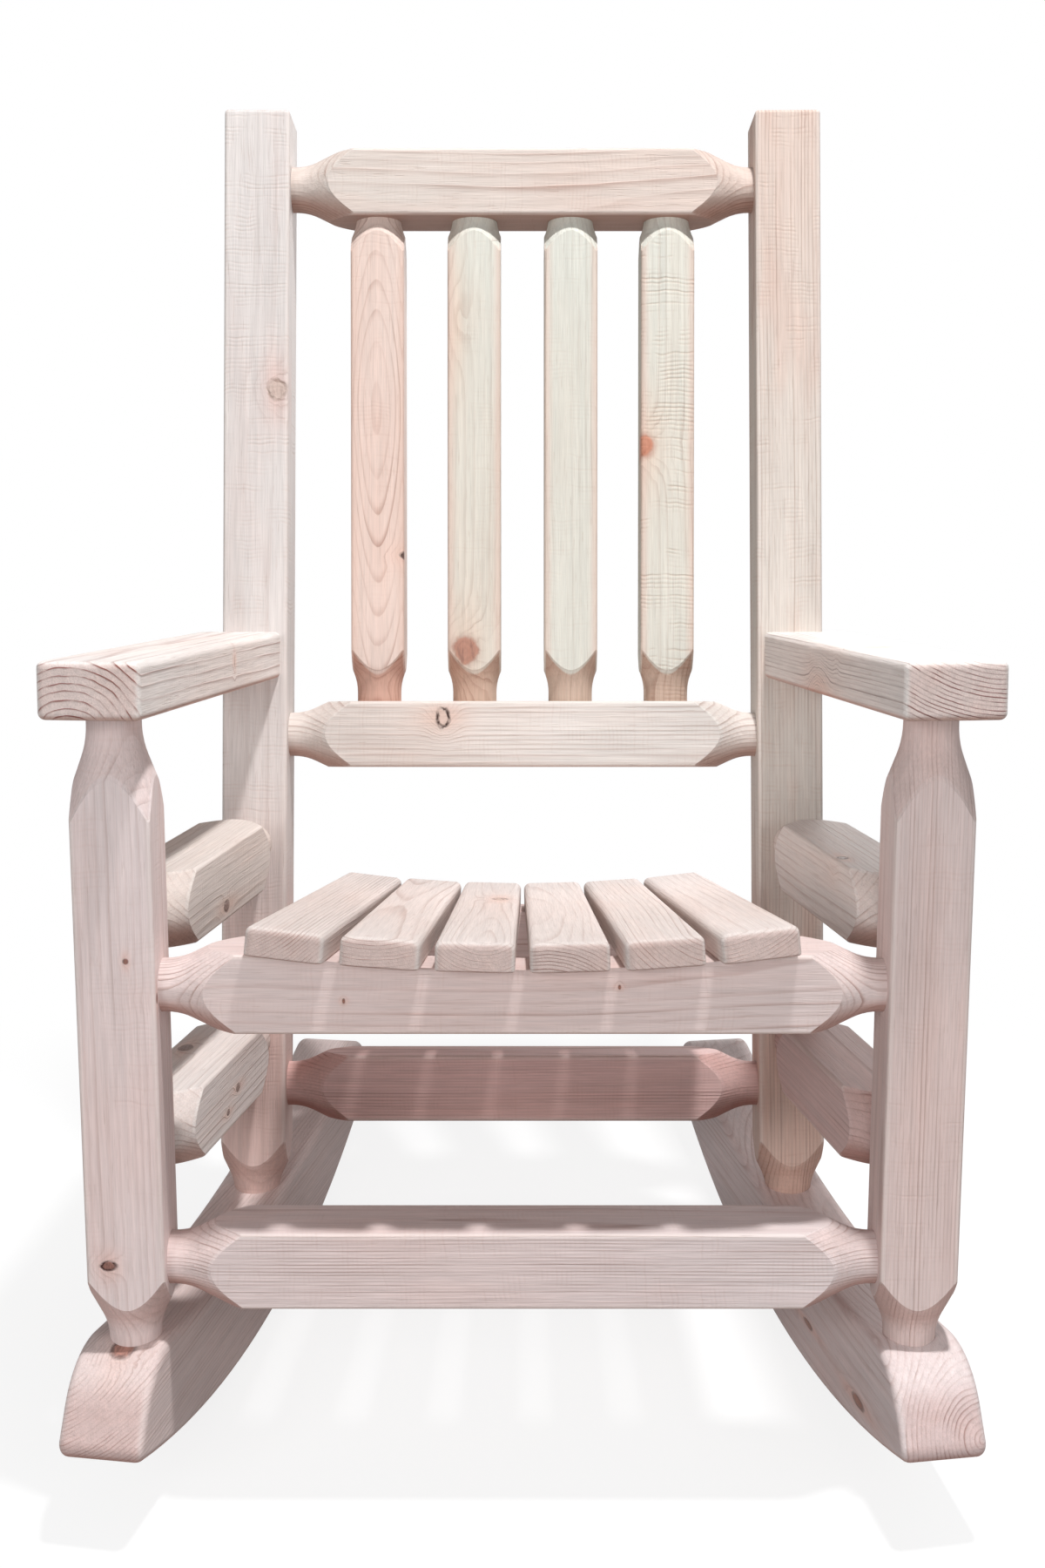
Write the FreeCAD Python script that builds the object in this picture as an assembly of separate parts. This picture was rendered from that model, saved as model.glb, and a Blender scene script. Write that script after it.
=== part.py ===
import FreeCAD, Part
import math
import os

V = FreeCAD.Vector

# A rocking chair of square pine timbers with turned round tenons, in millimetres.
# It is laid out in a bench frame: +Z up from the floor, +Y from front to back with the
# front posts at zero, and +X across. Of each pair the right one is worked out, and the
# left one mirrors it. At the end the chair leans back to where its weight balances on the
# rockers, and its origin goes to the floor under the middle of its box.

# Timber sections
post_side = 56.0
rail_side = 57.0
spindle_side = 46.0
edge_ease = 3.0

# Round tenons, and the hollow and cone that turn the square into them.
# A stub is the plain round length outside the mortise; a negative one is let in.
tenon_diameter = 38.1
tenon_depth = 20.0
foot_tenon_depth = 34.0
arm_tenon_depth = 22.0
tenon_chamfer = 1.5
shoulder_radius = 45.0
shoulder_angle = 25.6
arm_shoulder_radius = 65.0
arm_shoulder_angle = 20.0
rail_stub = 3.0
spindle_foot_stub = 8.5
spindle_head_stub = -6.0
arm_stub = 7.0
front_foot_stub = 1.0
rear_foot_stub = -8.0
mortise_play = 0.15
mortise_end_gap = 0.8
mortise_web = 0.6

# Posts
front_half_spacing = 283.5
rear_foot_half_spacing = 234.4
rear_top_half_spacing = 228.0
rear_foot_setback = 287.8
rear_post_top = 1020.6
back_lean = 8.6

# Heights of the rail axes
front_stretcher_height = 156.0
rear_stretcher_height = 186.0
lower_side_rail_height = 231.0
front_seat_rail_height = 360.5
lower_back_rail_height = 490.0
top_back_rail_height = 960.0

# Back spindles
spindle_count = 4
spindle_pitch = 83.7

# Rockers: two arcs in the plane of each runner, measured back from the front post
rocker_width = 63.0
rocker_outset = 3.0
sole_radius = 885.0
sole_lowest = 168.4
top_radius = 1314.0
top_lowest = 139.0
top_height = 89.3
rocker_front = -75.0
rocker_tail = 580.0
front_rake = 30.0
tail_rake = -20.0
nose_radius = 62.0
tail_radius = 28.0
tip_radius = 10.0
rocker_ease = 7.0
most_lean = 25.0

# Arms
arm_width = 72.0
arm_thickness = 39.5
arm_underside = 554.5
arm_slope = 2.2
arm_front_overhang = 57.5
arm_inset_at_front_post = 1.0
arm_outset_at_rear_post = 14.5
arm_corner_radius = 7.0
arm_ease = 5.0

# Seat slats
slat_count = 6
slat_thickness = 21.0
slat_front = -45.0
slat_rear = 338.0
slat_front_pitch = 66.1
slat_rear_pitch = 53.2
slat_front_gap = 10.7
slat_rear_gap = 3.3
slat_corner_radius = 6.0
slat_top_ease = 5.5
slat_under_ease = 1.5
seat_slope = 6.5
seat_tilt_step = 2.5
seat_dish_front = 9.5
seat_dish_rear = 8.0

# Screws
slat_screw_diameter = 4.2
slat_screw_head = 8.4
slat_screw_head_height = 3.0
slat_screw_grip = 24.0
slat_screw_bite = 14.0
arm_screw_diameter = 6.0
arm_screw_head = 12.0
arm_screw_head_height = 4.5
arm_screw_spacing = 16.0
arm_screw_bite = 48.0
arm_counterbore_depth = 14.0
screw_play = 0.15
counterbore_play = 0.5

# How near to its place an edge is looked for when it is rounded
edge_search = 1.0

# Densities in kg per cubic millimetre, used to find how the chair balances
pine_density = 0.6e-6
steel_density = 7.85e-6

x_axis = V(1, 0, 0)
z_axis = V(0, 0, 1)
forward = V(0, -1, 0)
tenon_radius = tenon_diameter / 2
shoulder = shoulder_radius, shoulder_angle
lean = math.radians(back_lean)
back_up = V(0, math.sin(lean), math.cos(lean))
seat_fall = math.tan(math.radians(seat_slope))
tilt_step = math.tan(math.radians(seat_tilt_step))
toe = math.atan2(front_half_spacing - rear_foot_half_spacing, rear_foot_setback)
runner_along = V(-math.sin(toe), math.cos(toe), 0)
rear_foot_run = rear_foot_setback / math.cos(toe)
upper_side_rail_height = front_seat_rail_height + tenon_diameter + 2 * mortise_play + mortise_web


def laid(shape, origin, along, up):
    # A shape drawn along local X with local Z up, laid in the bench frame
    placed = shape.copy()
    frame = FreeCAD.Placement(origin, FreeCAD.Rotation(along, V(), up, "XZY"))
    placed.Placement = frame.multiply(placed.Placement)
    return placed


def mirrored(shape):
    return shape.mirror(V(0, 0, 0), x_axis)


def half_steps(count):
    # Places either side of the middle, in steps of one
    return [index - (count - 1) / 2 for index in range(count)]


def runs_along(edge, direction):
    return abs(edge.tangentAt(edge.FirstParameter).dot(direction)) > 0.999


def outline(points):
    return Part.Face(Part.makePolygon(points + points[:1]))


# Turned timbers


def square_bar(side, length, first, last):
    # A bar along local X with eased long edges, and eased ends where an end isn't turned
    bar = Part.makeBox(length, side, side, V(0, -side / 2, -side / 2))
    eased = [e for e in bar.Edges if runs_along(e, x_axis)]
    for end, x in ((first, 0), (last, length)):
        if not end:
            eased += [e for e in bar.Edges if abs(e.CenterOfMass.x - x) < edge_search]
    return bar.makeFillet(edge_ease, eased)


def turned_end(side, play, depth, stub, hollow_radius, cone_angle):
    # The body that a turned end lies within, from the tip of its tenon along local X.
    # With some play it is the mortise that takes that end.
    angle = math.radians(cone_angle)
    radius = tenon_radius + play
    tip = -mortise_end_gap if play else 0
    chamfer = 0 if play else tenon_chamfer
    neck = V(depth + stub, 0, radius)
    hollow_centre = V(neck.x, 0, tenon_radius + hollow_radius)
    hollow_middle, hollow_end = (
        hollow_centre + V(math.sin(turn), 0, -math.cos(turn)) * (hollow_radius - play)
        for turn in (angle / 2, angle)
    )
    cone_end = V(hollow_end.x + (side - hollow_end.z) / math.tan(angle), 0, side)
    corners = [V(cone_end.x, 0, 0), V(tip, 0, 0), V(tip, 0, radius - chamfer)]
    if chamfer:
        corners.append(V(tip + chamfer, 0, radius))
    edges = [Part.makeLine(a, b) for a, b in zip(corners, corners[1:] + [neck])]
    edges.append(Part.Arc(neck, hollow_middle, hollow_end).toShape())
    edges.append(Part.makeLine(hollow_end, cone_end))
    edges.append(Part.makeLine(cone_end, corners[0]))
    return Part.Face(Part.Wire(edges)).revolve(V(0, 0, 0), x_axis, 360)


def turned_timber(side, first_tip, last_tip, up, first, last):
    # A square timber from tip to tip whose ends are turned where an end's depth, stub and
    # shoulder are given. Returns it and the mortises for its turned ends.
    along = last_tip - first_tip
    bar = square_bar(side, along.Length, first, last)
    mortises = []
    for end, from_last in ((first, False), (last, True)):
        if not end:
            continue
        body = turned_end(side, 0, *end)
        beyond = Part.makeCylinder(side, along.Length, V(body.BoundBox.XMax, 0, 0), x_axis)
        envelope = body.fuse(beyond)
        mortise = turned_end(side, mortise_play, *end)
        if from_last:
            for shape in (envelope, mortise):
                shape.rotate(V(0, 0, 0), z_axis, 180)
                shape.translate(V(along.Length, 0, 0))
        bar = bar.common(envelope)
        mortises.append(mortise)
    return [laid(shape, first_tip, along, up) for shape in [bar] + mortises]


# Rockers and posts


def arc_height(run, radius, lowest, height):
    return height + radius - math.sqrt(radius**2 - (run - lowest) ** 2)


def sole_point(run):
    return V(run, 0, arc_height(run, sole_radius, sole_lowest, 0))


def top_point(run):
    return V(run, 0, arc_height(run, top_radius, top_lowest, top_height))


def raked_to_top(point, rake):
    # Where a line from a point of the sole, raked back from upright, meets the top arc
    ray = V(math.sin(math.radians(rake)), 0, math.cos(math.radians(rake)))
    from_centre = point - V(top_lowest, 0, top_height + top_radius)
    half = from_centre.dot(ray)
    reach = -half - math.sqrt(half**2 - from_centre.dot(from_centre) + top_radius**2)
    return point + ray * reach


def rocker_blank():
    sole_front, sole_tail = sole_point(rocker_front), sole_point(rocker_tail)
    nose, tail = raked_to_top(sole_front, front_rake), raked_to_top(sole_tail, tail_rake)
    sole = Part.Arc(sole_front, sole_point(sole_lowest), sole_tail).toShape()
    top = Part.Arc(tail, top_point(top_lowest), nose).toShape()
    ends = [Part.makeLine(sole_tail, tail), Part.makeLine(nose, sole_front)]
    side = Part.Face(Part.Wire([sole, ends[0], top, ends[1]]))
    blank = side.extrude(V(0, rocker_width, 0))
    blank.translate(V(0, -rocker_width / 2, 0))
    tips = [(sole_front, tip_radius), (sole_tail, tip_radius)]
    for corner, radius in [(nose, nose_radius), (tail, tail_radius)] + tips:
        across = [e for e in blank.Edges if e.CenterOfMass.distanceToPoint(corner) < edge_search]
        blank = blank.makeFillet(radius, across)
    rim = [e for e in blank.Edges if abs(e.CenterOfMass.y) > rocker_width / 2 - edge_search]
    return blank.makeFillet(rocker_ease, rim)


front_foot = V(front_half_spacing, 0, top_point(0).z)
rear_foot = V(rear_foot_half_spacing, rear_foot_setback, top_point(rear_foot_run).z)
rear_rise = rear_post_top - rear_foot.z
rear_along = V(rear_top_half_spacing - rear_foot_half_spacing, rear_rise * math.tan(lean), rear_rise)
rear_unit = V(rear_along).normalize()
rear_front_face = (forward - rear_unit * forward.dot(rear_unit)).normalize()


def on_front_post(height):
    return V(front_half_spacing, 0, height)


def on_rear_post(height):
    return rear_foot + rear_along * ((height - rear_foot.z) / rear_rise)


front_post, front_foot_mortise, arm_mortise = turned_timber(
    post_side,
    front_foot - z_axis * foot_tenon_depth,
    on_front_post(arm_underside + arm_tenon_depth),
    forward,
    (foot_tenon_depth, front_foot_stub, *shoulder),
    (arm_tenon_depth, arm_stub, arm_shoulder_radius, arm_shoulder_angle),
)
rear_post, rear_foot_mortise = turned_timber(
    post_side,
    rear_foot - rear_unit * foot_tenon_depth,
    rear_foot + rear_along,
    forward,
    (foot_tenon_depth, rear_foot_stub, *shoulder),
    None,
)
runner_start = on_front_post(0) + x_axis * rocker_outset
rocker = laid(rocker_blank(), runner_start, runner_along, z_axis)
rocker = rocker.cut([front_foot_mortise, rear_foot_mortise])


# Rails and spindles

rail_end = (tenon_depth, rail_stub, *shoulder)
spindle_foot = (tenon_depth, spindle_foot_stub, *shoulder)
spindle_head = (tenon_depth, spindle_head_stub, *shoulder)


def cross_rail(on_post, up):
    # A rail from the left post to the right one, and the mortise in the right post
    tip = on_post - x_axis * (post_side / 2 - tenon_depth)
    other_tip = V(-tip.x, tip.y, tip.z)
    rail, _, mortise = turned_timber(rail_side, other_tip, tip, up, rail_end, rail_end)
    return rail, mortise


def side_rail(height):
    # A level rail from the front post to the rear one, and the mortises in both
    front, rear = on_front_post(height), on_rear_post(height)
    along = (rear - front).normalize()
    front_reach = post_side / 2 / abs(along.dot(forward)) - tenon_depth
    rear_reach = post_side / 2 / abs(along.dot(rear_front_face)) - tenon_depth
    tips = front + along * front_reach, rear - along * rear_reach
    return turned_timber(rail_side, *tips, z_axis, rail_end, rail_end)


def spindle(place):
    # A spindle between the back rails, and the mortises in both
    shift = x_axis * (place * spindle_pitch)
    reach = back_up * (rail_side / 2 - tenon_depth)
    lower, upper = on_rear_post(lower_back_rail_height), on_rear_post(top_back_rail_height)
    tips = V(0, lower.y, lower.z) + shift + reach, V(0, upper.y, upper.z) + shift - reach
    return turned_timber(spindle_side, *tips, forward, spindle_foot, spindle_head)


def middle_underside(y):
    # Height of the underside of the two middle slats
    edge = front_seat_rail_height + rail_side / 2 - seat_dish_front
    return edge - (y + rail_side / 2) * seat_fall


# The rear seat rail stands where the middle slats lie its dish's depth below its top
rail_rise = back_up * (rail_side / 2)
rear_axis_at_floor = on_rear_post(0).y
rear_seat_rail_height = (
    middle_underside(rear_axis_at_floor + rail_rise.y) + seat_dish_rear - rail_rise.z
) / (1 + seat_fall * math.tan(lean))

front_seat_rail, front_seat_mortise = cross_rail(on_front_post(front_seat_rail_height), z_axis)
rear_seat_rail, rear_seat_mortise = cross_rail(on_rear_post(rear_seat_rail_height), back_up)
front_stretcher, front_stretcher_mortise = cross_rail(on_front_post(front_stretcher_height), z_axis)
rear_stretcher, rear_stretcher_mortise = cross_rail(on_rear_post(rear_stretcher_height), back_up)
lower_back_rail, lower_back_mortise = cross_rail(on_rear_post(lower_back_rail_height), back_up)
top_back_rail, top_back_mortise = cross_rail(on_rear_post(top_back_rail_height), back_up)
upper_side_rail, upper_front_mortise, upper_rear_mortise = side_rail(upper_side_rail_height)
lower_side_rail, lower_front_mortise, lower_rear_mortise = side_rail(lower_side_rail_height)

spindles = [spindle(place) for place in half_steps(spindle_count)]
lower_back_rail = lower_back_rail.cut([lower for _, lower, _ in spindles])
top_back_rail = top_back_rail.cut([upper for _, _, upper in spindles])


# Screws


def screw(seat, along, up, sizes, length, run_in):
    # A screw whose head bears on a seat, and the counterbore and hole that take it
    diameter, head, head_height = sizes
    point = diameter / 2
    profile = [
        V(-head_height, 0, 0),
        V(-head_height, 0, head / 2),
        V(0, 0, head / 2),
        V(0, 0, diameter / 2),
        V(length - point, 0, diameter / 2),
        V(length, 0, 0),
    ]
    body = outline(profile).revolve(V(0, 0, 0), x_axis, 360)
    counterbore = Part.makeCylinder(head / 2 + counterbore_play, run_in, V(-run_in, 0, 0), x_axis)
    hole = Part.makeCylinder(diameter / 2 + screw_play, length + mortise_end_gap, V(0, 0, 0), x_axis)
    return [laid(shape, seat, along, up) for shape in (body, counterbore.fuse(hole))]


# Seat slats, each on a flat bed of its own in both seat rails


def slat_pitch(y):
    share = (y - slat_front) / (slat_rear - slat_front)
    return slat_front_pitch + (slat_rear_pitch - slat_front_pitch) * share


def slat_underside(place, y):
    # The middle of a slat's underside. Neighbouring beds meet halfway between their slats.
    rise = slat_pitch(y) * tilt_step * (place**2 - 0.25) / 2
    return V(place * slat_pitch(y), y, middle_underside(y) + rise)


def slat(place):
    # A slat and the room above its bed
    front, rear = slat_underside(place, slat_front), slat_underside(place, slat_rear)
    along = rear - front
    up = V(1, 0, place * tilt_step).cross(along)
    length = along.Length
    half_front = (slat_front_pitch - slat_front_gap) / 2
    half_rear = (slat_rear_pitch - slat_rear_gap) / 2
    plan = [V(0, -half_front, 0), V(length, -half_rear, 0), V(length, half_rear, 0), V(0, half_front, 0)]
    board = outline(plan).extrude(V(0, 0, slat_thickness))
    board = board.makeFillet(slat_corner_radius, [e for e in board.Edges if runs_along(e, z_axis)])
    for height, radius in ((slat_thickness, slat_top_ease), (0, slat_under_ease)):
        rim = [e for e in board.Edges if abs(e.CenterOfMass.z - height) < edge_search]
        board = board.makeFillet(radius, rim)
    above = Part.makeBox(2 * length, length, length, V(-length / 2, -length / 2, 0))
    strip = []
    for y, step in ((slat_front, -0.5), (slat_front, 0.5), (slat_rear, 0.5), (slat_rear, -0.5)):
        outside = rail_side if y > slat_front else -rail_side
        strip.append(V((place + step) * slat_pitch(y + outside), y + outside, 0))
    bed_room = outline(strip).extrude(V(0, 0, rear_post_top)).common(laid(above, front, along, up))
    return laid(board, front, along, up), bed_room


slat_sizes = slat_screw_diameter, slat_screw_head, slat_screw_head_height
slat_screw_length = slat_screw_grip + slat_screw_bite
slats, slat_screws = [], []
for place in half_steps(slat_count):
    board, bed_room = slat(place)
    front_seat_rail = front_seat_rail.cut(bed_room)
    rear_seat_rail = rear_seat_rail.cut(bed_room)
    front_bed = slat_underside(place, 0)
    rear_bed = slat_underside(place, on_rear_post(rear_seat_rail_height).y + rail_rise.y)
    front_fix, front_hole = screw(
        front_bed - z_axis * slat_screw_grip, z_axis, forward, slat_sizes, slat_screw_length, rail_side
    )
    rear_fix, rear_hole = screw(
        rear_bed - back_up * slat_screw_grip, back_up, forward, slat_sizes, slat_screw_length, rail_side
    )
    front_seat_rail = front_seat_rail.cut(front_hole)
    rear_seat_rail = rear_seat_rail.cut(rear_hole)
    slats.append(board.cut([front_hole, rear_hole]))
    slat_screws += [front_fix, rear_fix]


# Arms

rear_face_at_arm = on_rear_post(arm_underside) + rear_front_face * (post_side / 2)
arm_on_front_post = V(front_half_spacing - arm_inset_at_front_post, 0, arm_underside)
arm_on_rear_post = V(
    rear_face_at_arm.x + arm_outset_at_rear_post,
    rear_face_at_arm.y,
    arm_underside - rear_face_at_arm.y * math.tan(math.radians(arm_slope)),
)
arm_along = (arm_on_rear_post - arm_on_front_post).normalize()


def arm_blank():
    # A board along local X with its underside at zero, longer than the arm at the back
    length = arm_front_overhang + rear_face_at_arm.y + post_side
    board = Part.makeBox(length, arm_width, arm_thickness, V(0, -arm_width / 2, 0))
    corners = [e for e in board.Edges if runs_along(e, z_axis) and e.CenterOfMass.x < edge_search]
    board = board.makeFillet(arm_corner_radius, corners)
    sides = [e for e in board.Edges if not runs_along(e, z_axis)]
    rim = [e for e in sides if e.CenterOfMass.x < length - edge_search]
    return board.makeFillet(arm_ease, rim)


behind = Part.makeBox(2 * rear_rise, rear_rise, rear_rise, V(0, -rear_rise / 2, post_side / 2 - rear_rise))
arm = laid(arm_blank(), arm_on_front_post - arm_along * arm_front_overhang, arm_along, z_axis)
arm = arm.cut(laid(behind, rear_foot, rear_along, forward)).cut(arm_mortise)

arm_sizes = arm_screw_diameter, arm_screw_head, arm_screw_head_height
arm_screw_length = post_side - arm_counterbore_depth + arm_screw_bite
# The screws' middle line halves the arm's thickness midway along their bite. They pass beside
# the tenons of the back rails, midway from those to the outside of the post.
bite_middle = arm_on_rear_post - arm_along * (arm_screw_bite / 2) + z_axis * (arm_thickness / 2)
seat_depth = (bite_middle - rear_foot).dot(rear_front_face) + post_side / 2 - arm_counterbore_depth
arm_seat = bite_middle - rear_front_face * seat_depth
arm_seat.x = on_rear_post(arm_seat.z).x + (tenon_depth + mortise_end_gap) / 2
arm_screws = []
for place in half_steps(2):
    seat = arm_seat + rear_unit * (place * arm_screw_spacing)
    fix, hole = screw(seat, rear_front_face, z_axis, arm_sizes, arm_screw_length, post_side)
    arm = arm.cut(hole)
    rear_post = rear_post.cut(hole)
    arm_screws += [fix, mirrored(fix)]


# Mortises in the posts

front_post = front_post.cut(
    [front_seat_mortise, front_stretcher_mortise, upper_front_mortise, lower_front_mortise]
)
rear_post = rear_post.cut(
    [
        top_back_mortise,
        lower_back_mortise,
        rear_seat_mortise,
        rear_stretcher_mortise,
        upper_rear_mortise,
        lower_rear_mortise,
    ]
)

pairs = {
    "front_post": front_post,
    "rear_post": rear_post,
    "rocker": rocker,
    "arm": arm,
    "upper_side_rail": upper_side_rail,
    "lower_side_rail": lower_side_rail,
}
nodes = {
    "front_seat_rail": front_seat_rail,
    "rear_seat_rail": rear_seat_rail,
    "front_stretcher": front_stretcher,
    "rear_stretcher": rear_stretcher,
    "lower_back_rail": lower_back_rail,
    "top_back_rail": top_back_rail,
}
for name, shape in pairs.items():
    nodes[name + "_right"] = shape
    nodes[name + "_left"] = mirrored(shape)
for number, (shape, _, _) in enumerate(spindles, 1):
    nodes[f"back_spindle_{number}"] = shape
for number, shape in enumerate(slats, 1):
    nodes[f"seat_slat_{number}"] = shape
timber = Part.makeCompound(list(nodes.values()))
nodes["slat_screws"] = Part.makeCompound(slat_screws)
nodes["arm_screws"] = Part.makeCompound(arm_screws)


# Rest


def weight_centre(weights):
    total, moment = 0, V()
    for shape, density in weights:
        for solid in shape.Solids:
            total += solid.Volume * density
            moment += solid.CenterOfMass * (solid.Volume * density)
    return moment / total


def off_balance(angle, centre):
    # How far behind its contact with the floor the weight lies, leaning back by an angle.
    # The runners toe in, so the one edge of each sole that turns lowest touches the floor.
    turn = math.atan(math.cos(toe) * math.tan(angle))
    edge = math.copysign(rocker_width / 2 - rocker_ease, angle)
    contact = sole_point(sole_lowest + sole_radius * math.sin(turn))
    contact_y = contact.x * math.cos(toe) + edge * math.sin(toe)
    return (centre.y - contact_y) * math.cos(angle) + (centre.z - contact.z) * math.sin(angle)


def resting_lean(centre):
    # The soles curve gently enough that leaning back further brings the contact back faster
    ahead, behind_it = -math.radians(most_lean), math.radians(most_lean)
    while behind_it - ahead > 1e-9:
        angle = (ahead + behind_it) / 2
        if off_balance(angle, centre) > 0:
            ahead = angle
        else:
            behind_it = angle
    return angle


screws = Part.makeCompound([nodes["slat_screws"], nodes["arm_screws"]])
rest = resting_lean(weight_centre([(timber, pine_density), (screws, steel_density)]))
stand = FreeCAD.Placement(V(), FreeCAD.Rotation(x_axis, -math.degrees(rest)))
standing = timber.copy()
standing.Placement = stand
box = standing.optimalBoundingBox(False)
stand.Base = V(0, -(box.YMin + box.YMax) / 2, -box.ZMin)

os.makedirs("parts", exist_ok=True)
for name, shape in nodes.items():
    shape.Placement = stand.multiply(shape.Placement)
    shape.exportStep(f"parts/{name}.step")
print(f"leans back {math.degrees(rest):.2f} degrees, centre of the box was at {-stand.Base.y:.2f}")
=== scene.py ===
import math

import bmesh
import bpy
import numpy as np
from mathutils import Matrix, Vector


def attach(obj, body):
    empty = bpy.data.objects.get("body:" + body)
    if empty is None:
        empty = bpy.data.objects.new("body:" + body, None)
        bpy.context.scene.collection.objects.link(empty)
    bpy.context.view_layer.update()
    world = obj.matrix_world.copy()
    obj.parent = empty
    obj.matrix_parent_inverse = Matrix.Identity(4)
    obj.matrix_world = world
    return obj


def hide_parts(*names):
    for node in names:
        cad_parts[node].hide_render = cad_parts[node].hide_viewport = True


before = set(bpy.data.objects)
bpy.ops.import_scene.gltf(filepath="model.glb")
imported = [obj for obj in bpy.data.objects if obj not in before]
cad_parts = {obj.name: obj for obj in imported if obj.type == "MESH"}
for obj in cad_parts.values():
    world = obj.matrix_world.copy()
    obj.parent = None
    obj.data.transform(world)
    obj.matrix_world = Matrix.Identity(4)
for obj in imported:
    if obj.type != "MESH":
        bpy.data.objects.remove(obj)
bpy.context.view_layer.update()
scene = bpy.context.scene
scene.view_settings.view_transform = "Standard"
print("frame loaded:", len(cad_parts), "nodes")


# Small helpers for shader nodes


def linear(red, green, blue):
    # a colour as a paint program shows it, turned into Blender's linear values
    steps = [c / 255 for c in (red, green, blue)]
    return [s / 12.92 if s <= 0.04045 else ((s + 0.055) / 1.055) ** 2.4 for s in steps] + [1.0]


def feed(tree, socket, value):
    if isinstance(value, bpy.types.NodeSocket):
        tree.links.new(value, socket)
    else:
        socket.default_value = value


def put(tree, kind, inputs=(), **settings):
    node = tree.nodes.new("ShaderNode" + kind)
    for key, value in settings.items():
        setattr(node, key, value)
    for key, value in dict(inputs).items():
        feed(tree, node.inputs[key], value)
    return node


def calc(tree, operation, *values):
    node = put(tree, "Math", operation=operation)
    for index, value in enumerate(values):
        feed(tree, node.inputs[index], value)
    return node.outputs[0]


def ease(tree, value, low, high):
    # 0 below low, 1 above high, smooth between
    sockets = {"Value": value, "From Min": low, "From Max": high}
    return put(tree, "MapRange", sockets, interpolation_type="SMOOTHSTEP").outputs[0]


def blend(tree, factor, first, second, blendType="MIX"):
    node = put(tree, "Mix", data_type="RGBA", blend_type=blendType)
    for index, value in ((0, factor), (6, first), (7, second)):
        feed(tree, node.inputs[index], value)
    return node.outputs[2]


def stretched(tree, parts, scales):
    # a vector whose parts are scaled one by one
    scaled = [calc(tree, "MULTIPLY", part, scale) for part, scale in zip(parts, scales)]
    return put(tree, "CombineXYZ", zip("XYZ", scaled)).outputs[0]


def grey(tree, value):
    return put(tree, "CombineXYZ", zip("XYZ", (value, value, value))).outputs[0]


def tinted(tree, factor, colour, tint):
    # a colour multiplied by a tint, as far as the factor says
    return blend(tree, factor, colour, blend(tree, 1.0, colour, tint, "MULTIPLY"))


def summed(tree, total, values, shares):
    for key, share in shares.items():
        total = calc(tree, "MULTIPLY_ADD", values[key], share, total)
    return total


noiseLook = {"seedStep": 13.7, "roughness": 0.55}


def noise(tree, vector, seed, detail=1.0, output=0):
    # each seed looks at its own far corner of the same noise
    corner = calc(tree, "MULTIPLY", seed, noiseLook["seedStep"])
    shifted = put(tree, "VectorMath", {0: vector, 1: corner}, operation="ADD").outputs[0]
    sockets = {"Vector": shifted, "Scale": 1.0, "Detail": detail, "Roughness": noiseLook["roughness"]}
    return put(tree, "TexNoise", sockets).outputs[output]


def otherSeed(tree, seed, step):
    return calc(tree, "ADD", seed, step)


def around(tree, value, reach):
    # noise about its middle, 0.5, drawn out to a reach
    return calc(tree, "MULTIPLY", calc(tree, "SUBTRACT", value, 0.5), reach)


def newGroup(name, inputs, outputs):
    tree = bpy.data.node_groups.new(name, "ShaderNodeTree")
    for label, default in inputs.items():
        kind = "Float"
        if hasattr(default, "__len__"):
            kind = "Color" if len(default) == 4 else "Vector"
        socket = tree.interface.new_socket(label, in_out="INPUT", socket_type="NodeSocket" + kind)
        socket.default_value = default
    for label, kind in outputs.items():
        tree.interface.new_socket(label, in_out="OUTPUT", socket_type="NodeSocket" + kind)
    return tree, tree.nodes.new("NodeGroupInput").outputs, tree.nodes.new("NodeGroupOutput").inputs


def useGroup(tree, group, inputs):
    node = tree.nodes.new("ShaderNodeGroup")
    node.node_tree = group
    for key, value in inputs.items():
        feed(tree, node.inputs[key], value)
    return node.outputs


def newMaterial(name):
    material = bpy.data.materials.new(name)
    material.use_nodes = True
    material.node_tree.nodes.clear()
    return material, material.node_tree


# Growth rings about a pith line that runs along the timber, local X, with some drift and bow

ringLook = {
    "driftScale": 2.1,  # noise scales are per metre
    "bowSoftness": 0.04,  # metres over which a bow turns round
    "wobbleScale": (6, 55, 55),
    "wobbleShare": 0.7,  # of the ring spacing
    "widthScale": 48,
    "widthRange": 2.0,
    "darkest": 0.93,  # share of a year
    "yearRange": 0.8,
    "yearLeast": 0.3,
    "fadingScale": (7, 60, 60),
    "fadingRange": (0.35, 0.62),
    "fadingShare": 0.7,
}


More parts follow.
